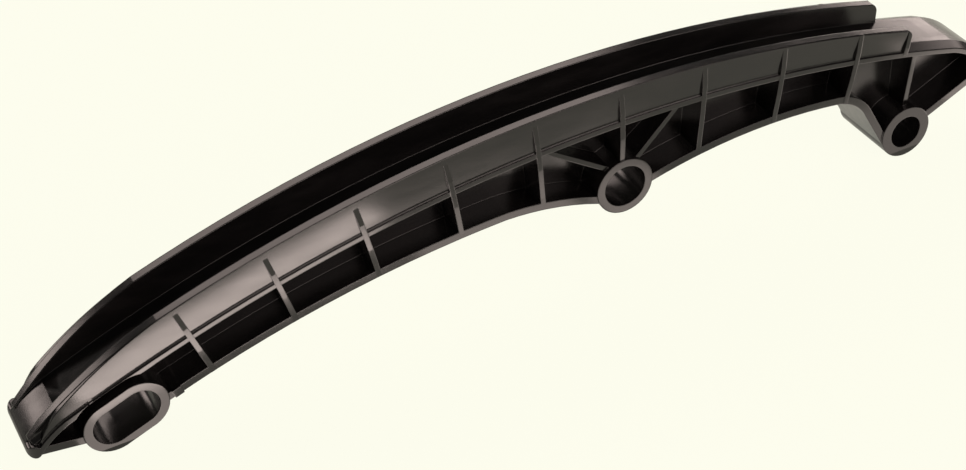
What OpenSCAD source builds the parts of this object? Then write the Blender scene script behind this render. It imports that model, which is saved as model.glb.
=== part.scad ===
// Timing chain guide: a one-piece moulded rail that a chain slides over.
// X runs along the rail, Y across it, Z up. The rail stands on its two end bosses at Z = 0.
// Angles in the side view are measured from +Z towards +X.

/* [Overall] */
// Length from the lead-in tip to the nose tip
length = 259.5; // [240:0.5:290]
// Width across the ledges and the bosses
width = 18.5; // [16:0.5:24]

/* [Running face] */
// Radius of the running face
floor_r = 350; // [320:1:420]
// Height of the running face at its crown
floor_top = 43.4; // [40:0.1:48]
// Position of the crown along the length
floor_x = 17.7; // [5:0.1:30]
// Radius of the lead-in bend at the low end
lead_r = 26.5; // [20:0.1:40]
// Length of rail that the lead-in bend takes up
lead_run = 8.6; // [6:0.1:14]
// Radius of the nose bend at the high end
nose_r = 25.3; // [20:0.1:34]
// Length of rail that the nose bend takes up
nose_run = 12.6; // [10:0.1:18]
// Plate thickness at the crown
plate_mid_t = 3.8; // [2.6:0.1:6]
// Plate thickness at the lead-in end
plate_low_t = 3.2; // [2.4:0.1:4.6]
// Plate thickness at the nose end
plate_high_t = 2.3; // [1.8:0.1:4]
// Corner radius of both tips in plan
tip_corner_r = 2.6; // [0.6:0.1:4]

/* [Side walls] */
// Wall height above the running face where the lead-in taper starts
wall_low_h = 6.3; // [4:0.1:9]
// Wall height above the running face at the crown
wall_mid_h = 6.2; // [4:0.1:9]
// Wall height above the running face where the walls end
wall_high_h = 4.5; // [3:0.1:8]
// Wall thickness across the rail
wall_t = 2.2; // [1.4:0.1:3]
// Outward lean of the walls in degrees
wall_lean = 14; // [4:0.5:16]
// Set-back of the wall foot from the edge of the ledge
wall_foot_in = 2.7; // [1.5:0.1:3]
// Fillet between the walls and the ledges
foot_r = 1.1; // [0.6:0.1:1.2]
// Length of the taper of the wall tops at the lead-in tip
taper_run = 35.5; // [30:0.5:60]
// Radius of the wall tops in the taper
taper_r = 100; // [80:1:130]
// Distance from the wall ends to the nose tip
bare_run = 27.7; // [24:0.1:38]
// Corner radius of the wall ends
wall_corner_r = 2; // [0.8:0.1:3]
// Set-back of the ledge edges from the rib edges
ledge_in = 0.1; // [0.05:0.05:0.3]
// Thickness of the ledge outside the walls
ledge_t = 1.3; // [1:0.1:1.8]

/* [Ribs and web] */
// Thickness of the web in the middle of the rail
web_t = 3; // [1.6:0.1:5]
// Thickness of the cross ribs
rib_t = 1.3; // [0.9:0.05:2.4]
// Number of cross ribs
rib_count = 9; // [6:1:10]
// Spacing of the cross ribs along the running face
rib_pitch = 22.4; // [18:0.1:24]
// Position of the first cross rib along the running face, from the crown
rib_first = -110.1; // [-114:0.1:-100]
// How far the ribs lean in from the ledge edge at the wall top
rib_tip_in = 0.7; // [0.65:0.05:1.5]
// Set-back of the edges of the two middle braces at the ledge
brace_in = 2.6; // [0.5:0.1:5]
// Set-back of the edges of the end brace at the boss
end_brace_in = 2; // [0.5:0.1:5]
// Angle of the brace on the lead-in side of the middle boss, from upright
brace_low_a = 58; // [45:1:62]
// Angle of the brace on the nose side of the middle boss, from upright
brace_high_a = 53; // [40:1:58]
// Height above the middle boss axis that both braces aim at
brace_aim = 3.3; // [0:0.1:5]

/* [Bottom flange] */
// Thickness of the bottom flange
flange_t = 2; // [1.4:0.1:3]
// Set-back of the flange edges from the ledge edges
flange_in = 0.4; // [0.1:0.05:1.2]
// Depth of the rail at the slot boss, from running face to flange
depth_slot = 15.1; // [14:0.1:16.5]
// Depth of the rail half-way between slot boss and middle boss
depth_low = 16.0; // [15.4:0.1:16.8]
// Depth of the rail where the flange bends down to the middle boss
depth_bend = 17.8; // [17:0.1:18.6]
// Distance before the middle boss where the flange bends down to it
bend_run = 33; // [26:0.5:40]
// Radius of that bend
bend_r = 70; // [60:1:90]
// Depth of the rail on the high side of the middle boss
depth_mid = 22.4; // [21.6:0.1:23.2]
// Depth of the rail half-way to the flange curl
depth_high = 16.7; // [16.2:0.1:17.4]
// Depth of the rail where the flange curls down
depth_curl = 14; // [13:0.1:15]
// Distance before the high-end boss where the flange curls down
curl_run = 19; // [17:0.1:22]
// Radius of the curl
curl_r = 12.4; // [10:0.1:13.5]

/* [Bosses] */
// Diameter of the middle boss
mid_boss_d = 15; // [13.6:0.1:17]
// Bore of the middle boss
mid_bore_d = 11; // [9:0.1:12]
// Position of the middle boss along the length
mid_boss_x = 20; // [14:0.5:26]
// Depth of the middle boss axis below the crown of the running face
mid_boss_drop = 21.2; // [20:0.1:22.5]
// Diameter of the high-end boss
end_boss_d = 14.4; // [12.6:0.1:15.6]
// Bore of the high-end boss
end_bore_d = 9; // [7:0.1:10.5]
// Distance of the high-end boss from the nose tip
end_boss_in = 26.35; // [23:0.05:29]
// Width of the slot
slot_w = 9.4; // [7:0.1:10.6]
// Width of the boss round the slot
slot_boss_w = 13.6; // [12.4:0.1:15]
// Length of the slot between its two round ends
slot_run = 7.2; // [5:0.1:10]
// Tilt of the slot in degrees
slot_tilt = 20.5; // [16:0.5:24]
// Distance of the low end of the slot from the lead-in tip
slot_in = 19.25; // [17:0.05:22]
// Width of the relief in the ledge round the slot boss
relief_w = 2.6; // [2:0.1:5]
// Depth of that relief
relief_d = 3; // [1.5:0.1:3.4]
// Length of the raised pad on the flange beside the slot boss
pad_w = 2.3; // [1.4:0.1:3]
// Gap between that pad and the slot boss
pad_gap = 1; // [0.4:0.1:2]

/* [Hidden] */
$fn = 96;
arc_fn = 360;
// Arcs that follow each other meet at this small angle, and round ends overlap by this share
meet_a = 3;
overlap = 0.996;
half_w = width / 2;
floor_c = [floor_x, floor_top - floor_r];

function dir(a) = [sin(a), cos(a)];
function bearing(c, p) = atan2(p[0] - c[0], p[1] - c[1]);
function floor_angle(x) = asin((x - floor_x) / floor_r);
function on_floor(x, h) = floor_c + (floor_r + h) * dir(floor_angle(x));
// Circle through three points, as [centre x, centre z, radius]
function circle3(a, b, c) =
    let (u = b - a, v = c - a, w = 2 * (u[0] * v[1] - u[1] * v[0]), uu = u * u, vv = v * v)
    let (o = [v[1] * uu - u[1] * vv, u[0] * vv - v[0] * uu] / w)
    [a[0] + o[0], a[1] + o[1], norm(o)];
function centre(k) = [k[0], k[1]];

// Running face with its two end bends and rounded tips
lead_x = -length / 2 + lead_run;
nose_x = length / 2 - nose_run;
lead_c = on_floor(lead_x, 0) - lead_r * dir(floor_angle(lead_x) - meet_a);
nose_c = on_floor(nose_x, 0) - nose_r * dir(floor_angle(nose_x) + meet_a);
lead_line = lead_x + lead_r * sin(meet_a);
nose_line = nose_x - nose_r * sin(meet_a);
tip_low_r = plate_low_t / 2 / overlap;
tip_high_r = plate_high_t / 2 / overlap;
tip_low_a = asin((tip_low_r - length / 2 - lead_c[0]) / (lead_r - plate_low_t / 2));
tip_high_a = asin((length / 2 - tip_high_r - nose_c[0]) / (nose_r - plate_high_t / 2));
tip_low = lead_c + (lead_r - plate_low_t / 2) * dir(tip_low_a);
tip_high = nose_c + (nose_r - plate_high_t / 2) * dir(tip_high_a);

// Underside of the plate and tops of the walls, both arcs through three stations
under = circle3(on_floor(lead_x, -plate_low_t), on_floor(floor_x, -plate_mid_t), on_floor(nose_x, -plate_high_t));
taper_x = taper_run - length / 2;
wall_end_x = length / 2 - bare_run;
taper_p = on_floor(taper_x, wall_low_h);
wall_end_p = on_floor(wall_end_x, wall_high_h);
lip = circle3(taper_p, on_floor(floor_x, wall_mid_h), wall_end_p);
taper_c = taper_p - taper_r * dir(bearing(centre(lip), taper_p) - meet_a);
taper_line = taper_p[0] + taper_r * sin(meet_a);
wall_end_a = bearing(centre(lip), wall_end_p);

// Wall section: distance from the middle plane at a height over the running face
foot_step = plate_mid_t - ledge_t;
wall_top = max(wall_low_h, wall_mid_h, wall_high_h) + wall_corner_r;
wall_reach = 2 * wall_top;
face_a0 = floor_angle(-length / 2) - 2 * meet_a;
function wall_out(h) = half_w - wall_foot_in + (h + foot_step) * tan(wall_lean);
function wall_in(h) = wall_out(h) - wall_t;
// Centre of the fillet at the wall foot, as [height, distance], and a point of it
foot_c = [foot_r - foot_step, wall_out(-foot_step) + foot_r * (tan(wall_lean) + 1 / cos(wall_lean))];
function foot_arc(a) = [floor_r + foot_c[0] - foot_r * cos(a), foot_c[1] - foot_r * sin(a)];
foot_steps = 4;
rib_edge_top = half_w - rib_tip_in * wall_reach / wall_mid_h;

// Bosses
mid_boss = [mid_boss_x, floor_top - mid_boss_drop];
end_boss = [length / 2 - end_boss_in, end_boss_d / 2];
slot_low = [slot_in - length / 2, slot_boss_w / 2];
slot_high = slot_low + slot_run * [cos(slot_tilt), sin(slot_tilt)];
// Where the lower edge of the lead-in end runs into the slot boss
slot_foot = slot_low - [0, (slot_boss_w - slot_w) / 2];

// Bottom flange: arcs on the low and high side of the middle boss, a bend and a curl
slot_side_x = slot_high[0] + slot_boss_w / 2;
boss_side_x = mid_boss_x + mid_boss_d / 2 + flange_t;
bend_x = mid_boss_x - bend_run;
curl_x = end_boss[0] - curl_run;
bend_p = on_floor(bend_x, -depth_bend);
curl_p = on_floor(curl_x, -depth_curl);
low_p = on_floor((slot_side_x + bend_x) / 2, -depth_low);
high_p = on_floor((boss_side_x + curl_x) / 2, -depth_high);
low_arc = circle3(on_floor(slot_side_x, -depth_slot), low_p, bend_p);
high_arc = circle3(on_floor(boss_side_x, -depth_mid), high_p, curl_p);
bend_c = bend_p - bend_r * dir(bearing(centre(low_arc), bend_p) + meet_a);
curl_c = curl_p - curl_r * dir(bearing(centre(high_arc), curl_p) + meet_a);
bend_line = bend_p[0] - bend_r * sin(meet_a);
curl_line = curl_p[0] - curl_r * sin(meet_a);
// Leg of the curl: the line that touches the curl on one side and the boss on the other
leg_curl = curl_r * overlap;
leg_boss = end_boss_d / 2 * overlap - flange_t / 8;
leg_a = bearing(curl_c, end_boss) - 90 + asin((leg_curl + leg_boss) / norm(end_boss - curl_c));
curl_end = curl_c + leg_curl * dir(leg_a);
leg_end = end_boss - leg_boss * dir(leg_a);
rail_deep = 3 * max(depth_slot, depth_low, depth_bend, depth_mid, depth_high, depth_curl);

// Side-view pieces
module disc(c, r) translate(c) circle(r, $fn = r > 60 ? arc_fn : $fn);

module bar(p, q, t) {
    n = t / 2 * dir(bearing(p, q) + 90);
    polygon([p + n, q + n, q - n, p - n]);
}

// All of the side view on one side of an upright line
module left_of(x) translate([x - 2 * length, -length]) square(2 * length);
module right_of(x) translate([x, -length]) square(2 * length);

module slab(t) rotate([90, 0, 0]) linear_extrude(height = t, center = true) children();

// Turns a section, drawn as [radius, distance from the middle plane], along the running face
module along_face(a0, a1) {
    translate([floor_c[0], 0, floor_c[1]]) rotate([90, 0, 0]) rotate([0, 0, 90 - a1])
        rotate_extrude(angle = a1 - a0, $fn = 2 * arc_fn) children();
}

// All below an arc that follows the running face, with the two end bends at depths below it
module below(c, r, low, high) {
    intersection() {
        disc(c, r);
        union() {
            disc(lead_c, lead_r - low);
            right_of(lead_line);
        }
        union() {
            disc(nose_c, nose_r - high);
            left_of(nose_line);
        }
    }
}

module below_face() below(floor_c, floor_r, 0, 0);
module below_plate(up) below(centre(under), under[2] + up, plate_low_t - up, plate_high_t - up);

// Room between the two tips, above the bend centres
module between_tips() {
    far = 2 * floor_r;
    polygon([lead_c, lead_c + far * dir(tip_low_a), nose_c + far * dir(tip_high_a), nose_c]);
}

// Plate of the running face, up to a thickness
module plate_side(whole) {
    intersection() {
        between_tips();
        difference() {
            if (whole) below_face(); else below_plate(ledge_t);
            below_plate(0);
        }
    }
    disc(tip_low, tip_low_r);
    disc(tip_high, tip_high_r);
}

// Plate beyond the wall ends
module nose_side() {
    intersection() {
        plate_side(true);
        right_of(wall_end_x - rib_t / 2);
    }
}

// Side view of the walls: above the plate, under the wall tops, short of the lead-in tip
module wall_side() {
    in = wall_corner_r * 0.97;
    corner = wall_end_p - in * dir(wall_end_a) - in * dir(wall_end_a + 90);
    out = wall_corner_r * [dir(wall_end_a), dir(wall_end_a + 90)];
    difference() {
        intersection() {
            disc(centre(lip), lip[2]);
            union() {
                disc(taper_c, taper_r);
                right_of(taper_line);
            }
            polygon([lead_c, lead_c + length * dir(tip_low_a + meet_a), wall_end_p + length * dir(wall_end_a),
                wall_end_p - rail_deep * dir(wall_end_a)]);
        }
        below_plate(ledge_t / 2);
        difference() {
            polygon([corner, corner + 2 * out[0], corner + 2 * out[0] + 2 * out[1], corner + 2 * out[1]]);
            disc(corner, wall_corner_r);
        }
    }
}

// Open room under the flange, raised by a distance
module below_flange(up) {
    intersection() {
        disc(centre(low_arc), low_arc[2] + up);
        union() {
            left_of(bend_line);
            disc(bend_c, bend_r + up);
        }
    }
    intersection() {
        disc(centre(high_arc), high_arc[2] + up);
        union() {
            left_of(curl_line);
            disc(curl_c, curl_r + up);
            polygon([curl_c, curl_end + up * dir(leg_a), leg_end + up * dir(leg_a), end_boss,
                [end_boss[0] + end_boss_d, -rail_deep], [curl_c[0], -rail_deep]]);
        }
    }
}

// Whole side view of the body between the flange and the running face
module web_side() {
    difference() {
        intersection() {
            below_face();
            polygon([tip_low, slot_foot, [slot_foot[0], -rail_deep], [end_boss[0], -rail_deep], end_boss, tip_high,
                [tip_high[0], length], [tip_low[0], length]]);
        }
        below_flange(0);
    }
}

module flange_side() {
    intersection() {
        web_side();
        below_flange(flange_t);
    }
    bar(end_boss, tip_high, flange_t);
    bar(slot_foot, tip_low, flange_t);
}

// Raised pad on the flange beside the slot boss
module pad_side() {
    mid_r = low_arc[2] + flange_t / 2;
    start = centre(low_arc) + mid_r * dir(asin((slot_side_x + pad_gap - low_arc[0]) / mid_r));
    bar(start, start + pad_w * dir(bearing(centre(low_arc), start) + 90), flange_t + 2 * ledge_in);
}

module slot_outline(w) {
    disc(slot_low, w / 2);
    disc(slot_high, w / 2);
    bar(slot_low, slot_high, w * overlap);
}

module rib_bars() {
    for (i = [0 : rib_count - 1]) {
        a = (rib_first + i * rib_pitch) / floor_r * 180 / PI;
        bar(floor_c + (floor_r - rail_deep) * dir(a), floor_c + (floor_r + wall_reach) * dir(a), rib_t);
    }
}

// Rib that closes the walls at the nose end
module end_bar() {
    back = rib_t / 2 * dir(wall_end_a - 90);
    bar(wall_end_p - wall_reach * dir(wall_end_a) + back, wall_end_p + wall_reach * dir(wall_end_a) + back, rib_t);
}

// Solid pieces
module walls() {
    side = [
        [floor_r - wall_reach / 2, foot_c[1]],
        for (i = [0 : foot_steps]) foot_arc(i / foot_steps * (90 + wall_lean)),
        [floor_r + wall_reach, wall_out(wall_reach)]];
    last = len(side) - 1;
    intersection() {
        along_face(face_a0, floor_angle(nose_x) - meet_a / 2) polygon([
            for (q = side) [q[0], -q[1]],
            for (i = [0 : last]) side[last - i]]);
        slab(width) wall_side();
    }
}

// Space the chain runs in, down to the running face
module chain_channel() {
    high = 2 * wall_reach;
    along_face(face_a0 - meet_a, floor_angle(nose_x) - meet_a / 4) polygon([
        [floor_r, -wall_in(0)], [floor_r + high, -wall_in(high)],
        [floor_r + high, wall_in(high)], [floor_r, wall_in(0)]]);
}

// The same space over the lead-in bend
module lead_channel() {
    slab(2 * wall_in(0) * overlap) intersection() {
        left_of(lead_line);
        difference() {
            polygon([lead_c, lead_c + length * dir(tip_low_a + meet_a / 2), lead_c + length * dir(0)]);
            disc(lead_c, lead_r);
        }
    }
}

// Outline of the rib edges across the rail, from the flange up to the wall tops
module rib_section() {
    flange_edge = half_w - flange_in;
    full = floor_r - 2 * plate_mid_t;
    polygon([
        [floor_r - rail_deep, -flange_edge], [floor_r - depth_low, -flange_edge], [full, -half_w],
        [floor_r, -half_w], [floor_r + wall_reach, -rib_edge_top],
        [floor_r + wall_reach, rib_edge_top], [floor_r, half_w],
        [full, half_w], [floor_r - depth_low, flange_edge], [floor_r - rail_deep, flange_edge]]);
}

// Ribs below the running face with their fins on the walls, and the rib that closes the wall ends
module ribs() {
    intersection() {
        along_face(floor_angle(lead_x), floor_angle(nose_x)) rib_section();
        slab(width) {
            intersection() {
                rib_bars();
                union() {
                    web_side();
                    wall_side();
                }
            }
            intersection() {
                end_bar();
                wall_side();
            }
        }
    }
}

// Plate from the ledge to a boss, with its edges set back at the ledge or at the boss
module brace(from, to, top_in, boss_in) {
    span = norm(to - from);
    top = half_w - flange_in - top_in;
    end = half_w - flange_in - boss_in;
    translate([from[0], 0, from[1]]) rotate([0, bearing(from, to), 0]) rotate([90, 0, 90])
        linear_extrude(height = rib_t, center = true) polygon([
            [-top, -plate_high_t / 2], [top, -plate_high_t / 2], [top, plate_high_t / 2],
            [end, span], [-end, span], [-top, plate_high_t / 2]]);
}

module braces() {
    rise = mid_boss_drop - brace_aim - plate_mid_t;
    aim = mid_boss + [0, brace_aim];
    brace(aim + rise * [-tan(brace_low_a), 1], aim, brace_in, 0);
    brace(aim + rise * [tan(brace_high_a), 1], aim, brace_in, 0);
    brace(on_floor(end_boss[0] + rib_t, -plate_high_t), end_boss, 0, end_brace_in);
}

module boss(c, d) translate([c[0], 0, c[1]]) rotate([90, 0, 0]) cylinder(d = d, h = width, center = true);

module bore(c, d) {
    translate([c[0], 0, c[1]]) rotate([90, 0, 0]) cylinder(d = d, h = width + 2, center = true);
}

// Room for a washer round the slot boss, on both sides
module slot_relief() {
    for (side = [-1, 1]) translate([0, side * half_w, 0])
        slab(2 * relief_d) slot_outline(slot_boss_w + 2 * relief_w);
}

// Cuts that round the corners of both tips in plan
module tip_corners() {
    in = tip_corner_r * overlap;
    at = [length / 2 - in, half_w - ledge_in - in];
    for (turn = [0, 180], side = [0, 1]) rotate([0, 0, turn])
        translate([at[0], side == 0 ? at[1] : -at[1], 0]) rotate([0, 0, -90 * side])
            linear_extrude(height = floor_top) difference() {
                square(2 * tip_corner_r);
                circle(tip_corner_r);
            }
}

module guide_rail() {
    color("#1b1a1a") difference() {
        union() {
            difference() {
                union() {
                    difference() {
                        union() {
                            slab(2 * wall_in(0) + wall_t) plate_side(true);
                            slab(2 * wall_out(-foot_step)) nose_side();
                            slab(width - 2 * ledge_in) plate_side(false);
                            walls();
                        }
                        slot_relief();
                    }
                    slab(web_t) web_side();
                    slab(width - 2 * flange_in) flange_side();
                    slab(width) pad_side();
                    ribs();
                    braces();
                }
                chain_channel();
                lead_channel();
                tip_corners();
            }
            boss(mid_boss, mid_boss_d);
            boss(end_boss, end_boss_d);
            slab(width) slot_outline(slot_boss_w);
        }
        bore(mid_boss, mid_bore_d);
        bore(end_boss, end_bore_d);
        slab(width + 2) slot_outline(slot_w);
    }
}

guide_rail();
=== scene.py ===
"""Dresses the moulded chain guide rail and sets it on a plain pale studio floor."""
import math

import bpy
from mathutils import Matrix, Vector


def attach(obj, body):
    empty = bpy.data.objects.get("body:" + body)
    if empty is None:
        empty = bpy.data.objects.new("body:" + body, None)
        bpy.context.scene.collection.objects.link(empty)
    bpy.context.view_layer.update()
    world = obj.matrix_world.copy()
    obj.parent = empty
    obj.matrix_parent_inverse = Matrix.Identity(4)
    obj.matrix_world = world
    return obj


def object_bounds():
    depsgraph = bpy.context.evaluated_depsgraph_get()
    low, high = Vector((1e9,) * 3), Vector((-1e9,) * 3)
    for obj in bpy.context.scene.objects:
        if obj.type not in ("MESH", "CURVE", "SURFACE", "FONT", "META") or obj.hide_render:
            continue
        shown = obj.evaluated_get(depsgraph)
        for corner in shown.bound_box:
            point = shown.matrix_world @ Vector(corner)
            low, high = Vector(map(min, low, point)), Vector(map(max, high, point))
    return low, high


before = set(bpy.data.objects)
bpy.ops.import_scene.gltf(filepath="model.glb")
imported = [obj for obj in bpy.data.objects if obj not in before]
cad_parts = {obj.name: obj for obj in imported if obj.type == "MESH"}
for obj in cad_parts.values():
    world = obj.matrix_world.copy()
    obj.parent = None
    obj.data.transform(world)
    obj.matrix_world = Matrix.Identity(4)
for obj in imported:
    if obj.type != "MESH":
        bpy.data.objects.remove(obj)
CAD_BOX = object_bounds()

bl_info = {
    "name": "Chain guide rail",
    "version": (1, 0, 0),
    "blender": (4, 5, 0),
    "location": "View3D > Sidebar > Guide rail",
    "description": "Finish of a moulded chain guide rail, and the studio it stands in",
    "category": "Object",
}

MM = 0.001

# Side view of the solid rail, in mm, with arcs as (x, z, radius)
FACE = (17.7, -306.6, 350.0)
CROWN = FACE[0]
LEAD_LEDGE = (-109.38, -9.05, 24.6)
NOSE_FACE = (108.70, 5.12, 25.3)
NOSE_LEDGE = (108.70, 5.12, 24.3)
TAPER_RADIUS = 100.0
TAPER_KINK = math.radians(3)

# Wall tops and the plate's underside, as (x, height over the running face)
WALL_HEIGHTS = ((-94.25, 6.3), (CROWN, 6.2), (102.05, 4.5))
PLATE_DEPTHS = ((-121.15, -3.2), (CROWN, -3.8), (117.15, -2.3))
TAPER = WALL_HEIGHTS[0][0]
LEAD_IN = PLATE_DEPTHS[0][0]
NOSE = PLATE_DEPTHS[2][0]

# Ledge over the underside, and foot and lean of the solid wall that stands on it
LEDGE = 1.3
SOLID_FOOT = 6.55
SOLID_LEAN = math.radians(14)

# Wall faces: height and rise at the tip, reach under the solid wall, and drop below its top
TIP_HEIGHT = 0.5
TIP_SLOPE = 0.4
FOOT_REACH = 2.2
LIP_DROP = 0.1

# Fineness of the strips: turns of the fillet in degrees, where the flat face starts as a
# multiple of the fillet, and steps along the rail
FILLET_TURNS = range(0, 91, 15)
FLAT_START = 1.2
WALL_STEPS = 120
NOSE_STEPS = 40
SMOOTH_ANGLE = math.radians(30)

# Lit strips of the board, in mm: name, start, end and width
BOUNCES = (
    ("wall", (-114, -26), (-26, -49), 13),
    ("slot", (-118, -17), (-94, -17), 15),
    ("web", (-24, -33), (20, -33), 22),
    ("middle", (24, -32), (44, -32), 24),
    ("end", (60, -20), (126, -20), 20),
    ("nose", (127, -28), (175, -28), 33),
)

# Studio panels, in metres: name, place, the point they face, and size
PANELS = (
    ("front", (0.20, -0.85, 0.55), (0, 0, 0.03), (1.0, 0.6)),
    ("back", (0.05, 0.80, 0.70), (0, 0, 0.03), (0.95, 0.45)),
    ("left", (-0.70, 0.76, 0.32), (-0.1, 0, 0.01), (0.3, 0.25)),
    ("right", (0.97, 0.76, 0.16), (0.1, 0, 0.03), (0.5, 0.22)),
    ("nose", (1.0, 0.24, 0.42), (0.1, 0, 0.03), (0.45, 0.35)),
)
LAMP_COLOUR = "#ffece4"
ROOM_COLOUR = "#fffaf2"
FLOOR_SIZE = 6

# Camera fitted to the bores, the ribs and the wall tops: place, and its right, up and back
CAMERA_PLACE = (-0.16102, -0.32023, 0.29052)
CAMERA_AXES = (
    (0.8884, -0.4558, -0.0550),
    (0.3201, 0.5291, 0.7859),
    (-0.3291, -0.7157, 0.6160),
)
SENSOR_WIDTH = 36
LENS = 70.13
CLIP_START = 0.01


def linear(hex_colour):
    """Linear colour of an sRGB hex value such as "#1b1a1a"."""
    parts = [int(hex_colour[i:i + 2], 16) / 255 for i in (1, 3, 5)]
    return [c / 12.92 if c <= 0.04045 else ((c + 0.055) / 1.055) ** 2.4 for c in parts]


def add(tree, kind, settings=None, links=None):
    """Adds a node, sets its own settings, and fills or links its inputs."""
    node = tree.nodes.new(kind)
    for name, value in (settings or {}).items():
        setattr(node, name, value)
    for name, value in (links or {}).items():
        if isinstance(value, bpy.types.NodeSocket):
            tree.links.new(value, node.inputs[name])
        else:
            node.inputs[name].default_value = value
    return node


def new_material(name):
    """An empty node material with its output node."""
    material = bpy.data.materials.new(name)
    material.use_nodes = True
    material.node_tree.nodes.clear()
    return material, material.node_tree, add(material.node_tree, "ShaderNodeOutputMaterial")


class RailFinish(bpy.types.PropertyGroup):
    """Finish of the moulded rail."""
    dark: bpy.props.FloatVectorProperty(
        name="Plastic", description="Colour of the black nylon",
        subtype="COLOR", default=linear("#0b0a0a"), min=0, max=1)
    pale: bpy.props.FloatVectorProperty(
        name="Flow bloom", description="Colour where glass fibre comes to the skin",
        subtype="COLOR", default=linear("#161414"), min=0, max=1)
    sheen_low: bpy.props.FloatProperty(
        name="Least roughness", description="Roughness where the mould was smooth",
        default=0.15, min=0, max=1)
    sheen_high: bpy.props.FloatProperty(
        name="Most roughness", description="Roughness where fibre dulls the skin",
        default=0.26, min=0, max=1)
    edge: bpy.props.FloatProperty(
        name="Edge radius", description="Rounding of the moulded edges",
        default=0.35 * MM, min=0, unit="LENGTH")
    flow: bpy.props.FloatProperty(
        name="Flow mark size", description="Length of the flow marks in the skin",
        default=6 * MM, unit="LENGTH")
    # Real spark grain is finer, and is drawn as coarse as it needs to show
    grain: bpy.props.FloatProperty(
        name="Grain size", description="Grain of the mould's spark finish",
        default=0.35 * MM, unit="LENGTH")


class WallSkins(bpy.types.PropertyGroup):
    """Outer faces of the two side walls."""
    foot: bpy.props.FloatProperty(
        name="Foot", description="Distance of the wall foot from the middle plane",
        default=8.6 * MM, unit="LENGTH")
    lean: bpy.props.FloatProperty(
        name="Lean", description="Outward lean of the outer faces",
        default=math.radians(0.9), subtype="ANGLE")
    fillet: bpy.props.FloatProperty(
        name="Fillet", description="Fillet between wall and ledge",
        default=0.25 * MM, min=0, unit="LENGTH")
    sunk: bpy.props.FloatProperty(
        name="Sunk", description="How deep the skins sit in the solid rail",
        default=0.35 * MM, unit="LENGTH")
    start: bpy.props.FloatProperty(
        name="Start", description="Place of the low end along the rail",
        default=-127.5 * MM, unit="LENGTH")
    end: bpy.props.FloatProperty(
        name="End", description="Place of the high end along the rail",
        default=100.8 * MM, unit="LENGTH")


class NoseEdges(bpy.types.PropertyGroup):
    """Chamfers along both sides of the bare nose."""
    top: bpy.props.FloatProperty(
        name="Top", description="Distance of the upper edge from the middle plane",
        default=6.5 * MM, unit="LENGTH")
    foot: bpy.props.FloatProperty(
        name="Foot", description="Distance of the lower edge from the middle plane",
        default=9.1 * MM, unit="LENGTH")
    start: bpy.props.FloatProperty(
        name="Start", description="Place of the wall end along the rail",
        default=101.6 * MM, unit="LENGTH")
    end: bpy.props.FloatProperty(
        name="End", description="Place of the nose end along the rail",
        default=126.5 * MM, unit="LENGTH")


class StudioLook(bpy.types.PropertyGroup):
    """Floor, lamps and room light."""
    floor: bpy.props.FloatVectorProperty(
        name="Floor", description="Colour of the floor",
        subtype="COLOR", default=linear("#fffff0"), min=0, max=1)
    bounce_wall: bpy.props.FloatProperty(
        name="Wall bounce", description="Brightness of the board along the low half of the wall",
        default=8.0, min=0)
    bounce_slot: bpy.props.FloatProperty(
        name="Slot bounce", description="Brightness of the board in front of the slot boss",
        default=2.6, min=0)
    bounce_middle: bpy.props.FloatProperty(
        name="Middle bounce", description="Brightness of the board in front of the middle boss",
        default=2.2, min=0)
    bounce_web: bpy.props.FloatProperty(
        name="Web bounce", description="Brightness of the board that lights the web",
        default=2.4, min=0)
    bounce_end: bpy.props.FloatProperty(
        name="End bounce", description="Brightness of the board in front of the end boss",
        default=0.9, min=0)
    bounce_nose: bpy.props.FloatProperty(
        name="Nose bounce", description="Brightness of the board in front of the nose",
        default=2.5, min=0)
    front: bpy.props.FloatProperty(
        name="Front panel", description="Brightness of the panel in front of the rail",
        default=3.2, min=0)
    back: bpy.props.FloatProperty(
        name="Back panel", description="Brightness of the panel behind the rail",
        default=2.6, min=0)
    left: bpy.props.FloatProperty(
        name="Left panel", description="Brightness of the low panel behind the lead-in",
        default=4.2, min=0)
    right: bpy.props.FloatProperty(
        name="Right panel", description="Brightness of the low panel beyond the nose",
        default=4.0, min=0)
    nose: bpy.props.FloatProperty(
        name="Nose panel", description="Brightness of the panel that lights the nose edges",
        default=2.2, min=0)
    room: bpy.props.FloatProperty(
        name="Room light", description="Strength of the even light of the room",
        default=0.12, min=0)
    board_seen: bpy.props.FloatProperty(
        name="Board whiteness", description="Share of even white in the board as seen",
        default=0.96, min=0, max=1)
    board_mirrored: bpy.props.FloatProperty(
        name="Board in reflections", description="Share of even white in the board as mirrored",
        default=0.5, min=0, max=1)


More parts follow.
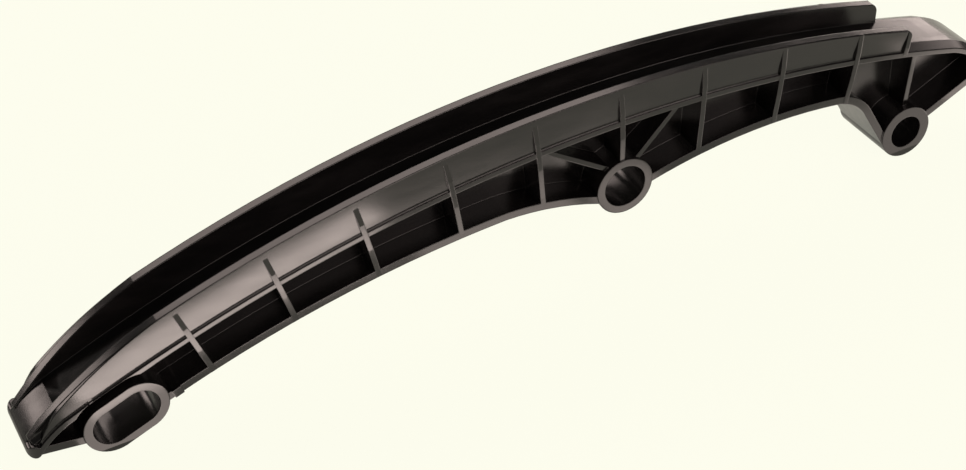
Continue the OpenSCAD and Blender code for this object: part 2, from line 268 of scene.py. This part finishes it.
def nylon(finish):
    """Black glass-filled nylon, injection moulded.

    It is satin and nearly black, with faint flow marks and soft bright edges.
    """
    material, tree, out = new_material("nylon_glass_filled_moulded")
    place = add(tree, "ShaderNodeTexCoord").outputs["Object"]
    # Flow marks run along the rail, so they are stretched along X
    along = add(tree, "ShaderNodeMapping", links={
        "Vector": place, "Scale": (0.25, 1, 1)}).outputs["Vector"]
    flow = add(tree, "ShaderNodeTexNoise", links={
        "Vector": along, "Scale": 1 / finish.flow, "Detail": 4, "Roughness": 0.6}).outputs["Fac"]
    grain = add(tree, "ShaderNodeTexNoise", links={
        "Vector": place, "Scale": 1 / finish.grain, "Detail": 2, "Roughness": 0.5}).outputs["Fac"]
    bloom = add(tree, "ShaderNodeMapRange", links={
        "Value": flow, "From Min": 0.45, "From Max": 0.75}).outputs["Result"]
    colour = add(tree, "ShaderNodeMix", {"data_type": "RGBA"}, {
        "Factor": bloom, "A": [*finish.dark, 1], "B": [*finish.pale, 1]}).outputs["Result"]
    dull = add(tree, "ShaderNodeMapRange", links={
        "Value": flow, "From Min": 0.3, "From Max": 0.7,
        "To Min": finish.sheen_low, "To Max": finish.sheen_high}).outputs["Result"]
    rounded = add(tree, "ShaderNodeBevel", {"samples": 8}, {
        "Radius": finish.edge}).outputs["Normal"]
    bump = add(tree, "ShaderNodeBump", links={
        "Height": grain, "Strength": 0.12, "Distance": 0.05 * MM,
        "Normal": rounded}).outputs["Normal"]
    skin = add(tree, "ShaderNodeBsdfPrincipled", links={
        "Base Color": colour, "Roughness": dull, "IOR": 1.53, "Normal": bump})
    tree.links.new(skin.outputs["BSDF"], out.inputs["Surface"])
    return material


def floor_paint(look):
    """Matt painted board: pale and even, so only the soft shadow of the rail marks it."""
    material, tree, out = new_material("board_painted_matt")
    ray = add(tree, "ShaderNodeLightPath").outputs
    either = add(tree, "ShaderNodeMath", {"operation": "MAXIMUM"}, {
        0: ray["Is Glossy Ray"], 1: ray["Is Transmission Ray"]}).outputs["Value"]
    mirrored = add(tree, "ShaderNodeMath", {"operation": "MULTIPLY"}, {
        0: either, 1: look.board_mirrored}).outputs["Value"]
    share = add(tree, "ShaderNodeMath", {"operation": "MULTIPLY_ADD"}, {
        0: ray["Is Camera Ray"], 1: look.board_seen, 2: mirrored}).outputs["Value"]
    colour = [*look.floor, 1]
    matt = add(tree, "ShaderNodeBsdfDiffuse", links={"Color": colour}).outputs["BSDF"]
    glow = add(tree, "ShaderNodeEmission", links={
        "Color": colour, "Strength": 1.0}).outputs["Emission"]
    mix = add(tree, "ShaderNodeMixShader", links={0: share, 1: matt, 2: glow})
    tree.links.new(mix.outputs["Shader"], out.inputs["Surface"])
    return material


def face_angle(x):
    """Angle from the crown of a place along the running face, in mm."""
    return math.asin((x - CROWN) / FACE[2])


def over_face(angle, height):
    """Point in the side view at a height over the running face, in mm."""
    reach = FACE[2] + height
    return Vector((FACE[0] + reach * math.sin(angle), FACE[1] + reach * math.cos(angle)))


def arc_through(a, b, c):
    """Arc through three points as (x, z, radius)."""
    turn = 2 * (a.x * (b.y - c.y) + b.x * (c.y - a.y) + c.x * (a.y - b.y))
    x = (a.dot(a) * (b.y - c.y) + b.dot(b) * (c.y - a.y) + c.dot(c) * (a.y - b.y)) / turn
    z = (a.dot(a) * (c.x - b.x) + b.dot(b) * (a.x - c.x) + c.dot(c) * (b.x - a.x)) / turn
    return x, z, (a - Vector((x, z))).length


def arc_height(arc, angle):
    """Height of an arc over the running face at an angle from the crown."""
    offset = Vector((FACE[0] - arc[0], FACE[1] - arc[1]))
    along = offset.dot(Vector((math.sin(angle), math.cos(angle))))
    return math.sqrt(along ** 2 - offset.dot(offset) + arc[2] ** 2) - along - FACE[2]


def wall_arcs():
    """Arcs of the wall tops, of their taper towards the lead-in, and of the plate's underside."""
    tops, depths = [
        [over_face(face_angle(x), height) for x, height in row]
        for row in (WALL_HEIGHTS, PLATE_DEPTHS)]
    top, under = arc_through(*tops), arc_through(*depths)
    first = tops[0]
    angle = math.atan2(first.x - top[0], first.y - top[1]) - TAPER_KINK
    taper = (
        first.x - TAPER_RADIUS * math.sin(angle), first.y - TAPER_RADIUS * math.cos(angle),
        TAPER_RADIUS)
    return top, taper, under


def side_strips(name, outline_at, start, end, steps):
    """A strip along each side of the rail, between two places in mm.

    outline_at gives its corners at an angle, as (height, distance from the middle plane).
    """
    def spot(angle, height, side):
        flat = over_face(angle, height) * MM
        return Vector((flat.x, side * MM, flat.y))

    first = face_angle(start)
    outline = outline_at(first)
    bpy.ops.object.select_all(action="DESELECT")
    bpy.ops.mesh.primitive_circle_add(vertices=len(outline), fill_type="NGON")
    strip = bpy.context.object
    strip.name = name
    for vertex, (height, side) in zip(strip.data.vertices, outline):
        vertex.co = spot(first, height, side)
    bpy.ops.object.mode_set(mode="EDIT")
    bpy.ops.mesh.select_all(action="SELECT")
    bpy.ops.mesh.spin(
        steps=steps, angle=face_angle(end) - first,
        center=(FACE[0] * MM, 0, FACE[1] * MM), axis=(0, -1, 0))
    bpy.ops.object.mode_set(mode="OBJECT")
    # Each vertex keeps its part in the outline, and takes the outline's shape at its own place
    for vertex in strip.data.vertices:
        x, z = vertex.co.x / MM - FACE[0], vertex.co.z / MM - FACE[1]
        angle, here = math.atan2(x, z), (math.hypot(x, z) - FACE[2], vertex.co.y / MM)
        part = min(range(len(outline)), key=lambda k: math.dist(outline[k], here))
        vertex.co = spot(angle, *outline_at(angle)[part])
    bpy.ops.object.modifier_add(type="MIRROR")
    strip.modifiers["Mirror"].use_axis = (False, True, False)
    bpy.ops.object.modifier_apply(modifier="Mirror")
    bpy.ops.object.mode_set(mode="EDIT")
    bpy.ops.mesh.select_all(action="SELECT")
    bpy.ops.mesh.normals_make_consistent(inside=False)
    bpy.ops.object.mode_set(mode="OBJECT")
    bpy.ops.object.shade_smooth_by_angle(angle=SMOOTH_ANGLE)
    strip.data.materials.append(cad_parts["guide_rail"].data.materials[0])
    return strip


def lamp(name, place, aim, size, brightness):
    """A soft rectangular lamp that shines from a place to a point and is not itself seen."""
    bpy.ops.object.light_add(type="AREA", location=place)
    panel = bpy.context.object
    panel.name = name
    panel.rotation_euler = (Vector(aim) - Vector(place)).to_track_quat("-Z", "Y").to_euler()
    panel.data.shape = "RECTANGLE"
    panel.data.size, panel.data.size_y = size
    panel.data.energy = brightness * math.pi * size[0] * size[1]
    panel.data.color = linear(LAMP_COLOUR)
    panel.visible_camera = False
    return panel


def bounce(name, start, end, width, brightness):
    """Light thrown up by a strip of the board between two points given in mm."""
    run = Vector(end) - Vector(start)
    middle = (Vector(start) + Vector(end)) / 2 * MM
    place = Vector((*middle, CAD_BOX[0][2] + MM))
    size = (run.length * MM, width * MM)
    strip = lamp(name, place, place + Vector((0, 0, 1)), size, brightness)
    strip.rotation_euler = (math.pi, 0, math.atan2(run.y, run.x))


class RAIL_OT_finish(bpy.types.Operator):
    """Gives the moulded rail its nylon skin"""
    bl_idname = "guide_rail.finish"
    bl_label = "Finish the rail"

    def execute(self, context):
        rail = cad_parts["guide_rail"]
        rail.data.materials.clear()
        rail.data.materials.append(nylon(context.scene.rail_finish))
        return {"FINISHED"}


class RAIL_OT_walls(bpy.types.Operator):
    """Adds the outer faces of the side walls, which stand nearly upright on the narrow ledges"""
    bl_idname = "guide_rail.walls"
    bl_label = "Add the wall faces"

    def execute(self, context):
        skins = context.scene.wall_skins
        foot, fillet, sunk = skins.foot / MM, skins.fillet / MM, skins.sunk / MM
        start, end = skins.start / MM, skins.end / MM
        slope = math.tan(skins.lean)
        flat = FLAT_START * fillet
        bend = [math.radians(turn) for turn in FILLET_TURNS]
        top, taper, under = wall_arcs()

        def outline_at(angle):
            low, high = arc_height(under, angle) + LEDGE, arc_height(top, angle)
            if angle < face_angle(LEAD_IN):
                low = min(low, arc_height(LEAD_LEDGE, angle))
            if angle < face_angle(TAPER):
                high = min(high, arc_height(taper, angle))
            # The tops run down to the ledge at the tip
            run = (angle - face_angle(start)) * FACE[2]
            high = min(high, low + TIP_HEIGHT + TIP_SLOPE * run)
            inner = foot - FOOT_REACH - 2 * sunk
            outer = foot + (high - low) * slope
            # The top reaches back into the solid wall, which leans more and falls short of it
            back = min(outer, SOLID_FOOT + (high - low) * math.tan(SOLID_LEAN)) - 2 * sunk
            return [
                (low - sunk, inner),
                (low - sunk, foot + fillet),
                *((low + fillet * (1 - math.cos(turn)), foot + fillet * (1 - math.sin(turn)))
                  for turn in bend),
                (low + flat, foot + flat * slope),
                (high - LIP_DROP, outer),
                (high - LIP_DROP, back)]

        walls = side_strips("wall_faces", outline_at, start, end, WALL_STEPS)
        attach(walls, "root")
        return {"FINISHED"}


class RAIL_OT_nose(bpy.types.Operator):
    """Adds the chamfers that lead from the running face to the ledges on the bare nose"""
    bl_idname = "guide_rail.nose"
    bl_label = "Add the nose edges"

    def execute(self, context):
        edges = context.scene.nose_edges
        top, foot, sunk = edges.top / MM, edges.foot / MM, context.scene.wall_skins.sunk / MM
        under = wall_arcs()[2]

        def outline_at(angle):
            low, high = arc_height(under, angle) + LEDGE, 0.0
            if angle > face_angle(NOSE):
                low = min(low, arc_height(NOSE_LEDGE, angle))
                high = min(high, arc_height(NOSE_FACE, angle))
            return [
                (low - sunk, top - sunk),
                (low - sunk, foot),
                (low, foot),
                (high, top),
                (high - sunk, top - sunk)]

        nose = side_strips(
            "nose_edges", outline_at, edges.start / MM, edges.end / MM, NOSE_STEPS)
        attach(nose, "root")
        return {"FINISHED"}


class RAIL_OT_stage(bpy.types.Operator):
    """Adds the floor, the lamps, the room light and the camera"""
    bl_idname = "guide_rail.stage"
    bl_label = "Set the stage"

    def execute(self, context):
        look = context.scene.studio_look
        bpy.ops.mesh.primitive_plane_add(size=FLOOR_SIZE, location=(0, 0, CAD_BOX[0][2]))
        board = context.object
        board.name = "floor"
        bpy.ops.object.transform_apply(location=True, rotation=True, scale=True)
        board.data.materials.append(floor_paint(look))

        for name, start, end, width in BOUNCES:
            bounce("lamp_bounce_" + name, start, end, width, getattr(look, "bounce_" + name))
        for name, place, aim, size in PANELS:
            lamp("lamp_" + name, place, aim, size, getattr(look, name))

        room = bpy.data.worlds.new("room")
        context.scene.world = room
        room.use_nodes = True
        room.node_tree.nodes.clear()
        glow = add(room.node_tree, "ShaderNodeBackground", links={
            "Color": [*linear(ROOM_COLOUR), 1], "Strength": look.room})
        out = add(room.node_tree, "ShaderNodeOutputWorld")
        room.node_tree.links.new(glow.outputs["Background"], out.inputs["Surface"])

        bpy.ops.object.camera_add()
        camera = context.object
        camera.name = "camera"
        turn = Matrix(CAMERA_AXES).transposed().to_4x4()
        camera.matrix_world = Matrix.Translation(CAMERA_PLACE) @ turn
        camera.data.sensor_fit = "HORIZONTAL"
        camera.data.sensor_width = SENSOR_WIDTH
        camera.data.lens = LENS
        camera.data.clip_start = CLIP_START
        context.scene.camera = camera
        context.scene.view_settings.view_transform = "Standard"
        return {"FINISHED"}


class RAIL_PT_panel(bpy.types.Panel):
    """Lists the sizes, colours and steps of the rail"""
    bl_idname = "RAIL_PT_panel"
    bl_label = "Guide rail"
    bl_space_type = "VIEW_3D"
    bl_region_type = "UI"
    bl_category = "Guide rail"

    def draw(self, context):
        scene = context.scene
        for group in (scene.rail_finish, scene.wall_skins, scene.nose_edges, scene.studio_look):
            for name in group.__annotations__:
                self.layout.prop(group, name)
        self.layout.operator("guide_rail.finish")
        self.layout.operator("guide_rail.walls")
        self.layout.operator("guide_rail.nose")
        self.layout.operator("guide_rail.stage")


CLASSES = (
    RailFinish, WallSkins, NoseEdges, StudioLook,
    RAIL_OT_finish, RAIL_OT_walls, RAIL_OT_nose, RAIL_OT_stage, RAIL_PT_panel)


def register():
    for cls in CLASSES:
        bpy.utils.register_class(cls)
    bpy.types.Scene.rail_finish = bpy.props.PointerProperty(type=RailFinish)
    bpy.types.Scene.wall_skins = bpy.props.PointerProperty(type=WallSkins)
    bpy.types.Scene.nose_edges = bpy.props.PointerProperty(type=NoseEdges)
    bpy.types.Scene.studio_look = bpy.props.PointerProperty(type=StudioLook)


def unregister():
    del bpy.types.Scene.studio_look
    del bpy.types.Scene.nose_edges
    del bpy.types.Scene.wall_skins
    del bpy.types.Scene.rail_finish
    for cls in reversed(CLASSES):
        bpy.utils.unregister_class(cls)


def main():
    register()
    bpy.ops.object.select_all(action="DESELECT")
    bpy.ops.guide_rail.finish()
    bpy.ops.guide_rail.walls()
    bpy.ops.guide_rail.nose()
    bpy.ops.guide_rail.stage()


if __name__ == "__main__":
    main()
